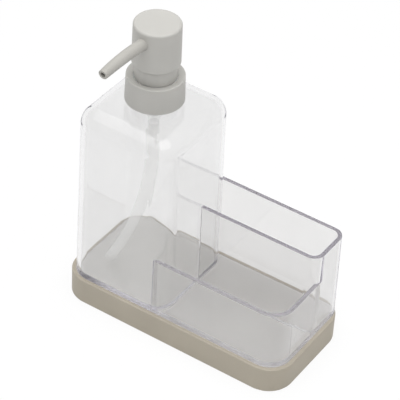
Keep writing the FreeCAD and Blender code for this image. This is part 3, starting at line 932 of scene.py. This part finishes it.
def skin_spout():
    """Spout with its bore, from the root outward and back."""
    rings = []
    end = SPOUT_LENGTH - MOUTH_EDGE
    for station in range(SPOUT_STATIONS + 1):
        reach = SPOUT_ROOT + (end - SPOUT_ROOT) * station / SPOUT_STATIONS
        rings.append(spout_ring(reach, spout_radius(reach)))
    lip = spout_radius(end)
    for sine, cosine in turns(LIP_STEPS)[1:]:
        rings.append(spout_ring(end + MOUTH_EDGE * sine, lip - MOUTH_EDGE * (1 - cosine)))
    for sine, cosine in turns(MOUTH_STEPS):
        reach = SPOUT_LENGTH - MOUTH_INNER_EDGE * (1 - cosine)
        rings.append(spout_ring(reach, MOUTH_BORE + MOUTH_INNER_EDGE * (1 - sine)))
    rings.append(spout_ring(SPOUT_LENGTH - MOUTH_DEPTH, MOUTH_BORE))
    rings.append(spout_ring(SPOUT_LENGTH - MOUTH_DEPTH - NEAR, SPOUT_BORE))
    for station in range(SPOUT_STATIONS, -1, -BORE_STRIDE):
        reach = SPOUT_ROOT + (SPOUT_LENGTH - MOUTH_DEPTH - 2 * NEAR - SPOUT_ROOT) * station / SPOUT_STATIONS
        rings.append(spout_ring(reach, SPOUT_BORE))
    return skin("tapered_spout", rings, True, spout_nickel_shaded)


tapered_spout = skin_spout()
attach(tapered_spout, "head")
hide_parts("spout")
print("spout faces", len(tapered_spout.data.polygons))

# %% [markdown]
# ## Return spring
# The spring stands on the pump's web and lifts the head. When the head is pressed the spring has to shorten. It is
# skinned here as its own wire, with close turns at both ends.

# %% Wind the spring
WEB_TOP_Z = 163.9
CORE_LOW_Z = 185.5
WIRE_RADIUS = 0.45
SPRING_RADIUS = 6.6
SPRING_END_PITCH = 1.4
SPRING_ACTIVE_TURNS = 5
SPRING_GAP = 0.05
STEPS_A_TURN = 36
WIRE_SIDES = 10


def wind_spring():
    """Wire along a helix whose first and last turns lie close."""
    low = WEB_TOP_Z + WIRE_RADIUS + SPRING_GAP
    high = CORE_LOW_Z - WIRE_RADIUS - SPRING_GAP
    active_pitch = (high - low - 2 * SPRING_END_PITCH) / SPRING_ACTIVE_TURNS
    pitches = [SPRING_END_PITCH] + [active_pitch] * SPRING_ACTIVE_TURNS + [SPRING_END_PITCH]
    heights = [low]
    for pitch in pitches:
        heights += [heights[-1] + pitch * step / STEPS_A_TURN for step in range(1, STEPS_A_TURN + 1)]
    rings = []
    for index, z in enumerate(heights):
        angle = 2 * math.pi * index / STEPS_A_TURN
        outward = Vector((math.cos(angle), math.sin(angle), 0))
        climb = heights[min(index + 1, len(heights) - 1)] - heights[max(index - 1, 0)]
        two_steps = 2 * SPRING_RADIUS * 2 * math.pi / STEPS_A_TURN
        tangent = Vector((-math.sin(angle), math.cos(angle), 0)) * two_steps
        tangent = (tangent + Vector((0, 0, climb))).normalized()
        upward = tangent.cross(outward)
        centre = Vector((PUMP_X, 0, z)) + outward * SPRING_RADIUS
        turn = [2 * math.pi * side / WIRE_SIDES for side in range(WIRE_SIDES)]
        rings.append([centre + (outward * math.cos(a) + upward * math.sin(a)) * WIRE_RADIUS for a in turn])
    return skin("spring_wire", rings, False, steel)


spring_wire = wind_spring()
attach(spring_wire, "pump_unit")
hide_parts("return_spring")
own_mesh(spring_wire)
print("spring faces", len(spring_wire.data.polygons))

# %% [markdown]
# ## Thread in the closure
# The closure has a thread of its own that runs between the turns of the neck's thread. It is a low ridge along the
# same helix, half a pitch higher, and it turns with the collar, so the two never touch when the pump is unscrewed.

# %% Roll the closure's thread
CLOSURE_BORE = 14.05
CLOSURE_THREAD_CREST = 13.45
CLOSURE_THREAD_BED = 0.2
CLOSURE_THREAD_TURNS = 1.45
CLOSURE_THREAD_STEPS = 60
CLOSURE_THREAD_LEAST = 0.05
CLOSURE_FOOT_HALF = 1.0
CLOSURE_CREST_HALF = 0.4
HALF_PITCH = THREAD_PITCH / 2


def roll_closure_thread():
    """Ridge inside the closure's bore, thinned at both ends."""
    rings = []
    steps = int(CLOSURE_THREAD_TURNS * CLOSURE_THREAD_STEPS)
    for step in range(steps + 1):
        along = CLOSURE_THREAD_TURNS * step / steps
        fade = min(1.0, along / THREAD_FADE, (CLOSURE_THREAD_TURNS - along) / THREAD_FADE)
        fade = max(CLOSURE_THREAD_LEAST, fade)
        angle = 2 * math.pi * along
        outward = Vector((math.cos(angle), math.sin(angle), 0))
        z = THREAD_LOW + along * THREAD_PITCH + HALF_PITCH
        bed = CLOSURE_BORE + CLOSURE_THREAD_BED
        crest = CLOSURE_BORE - (CLOSURE_BORE - CLOSURE_THREAD_CREST) * fade
        axis = Vector((PUMP_X, 0, z))
        profile = ((bed, -CLOSURE_FOOT_HALF), (bed, CLOSURE_FOOT_HALF),
                   (crest, CLOSURE_CREST_HALF), (crest, -CLOSURE_CREST_HALF))
        rings.append([axis + outward * reach + Vector((0, 0, rise)) for reach, rise in profile])
    return skin("closure_thread", rings, False, white_plastic)


closure_thread = roll_closure_thread()
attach(closure_thread, "collar")
print("closure thread faces", len(closure_thread.data.polygons))
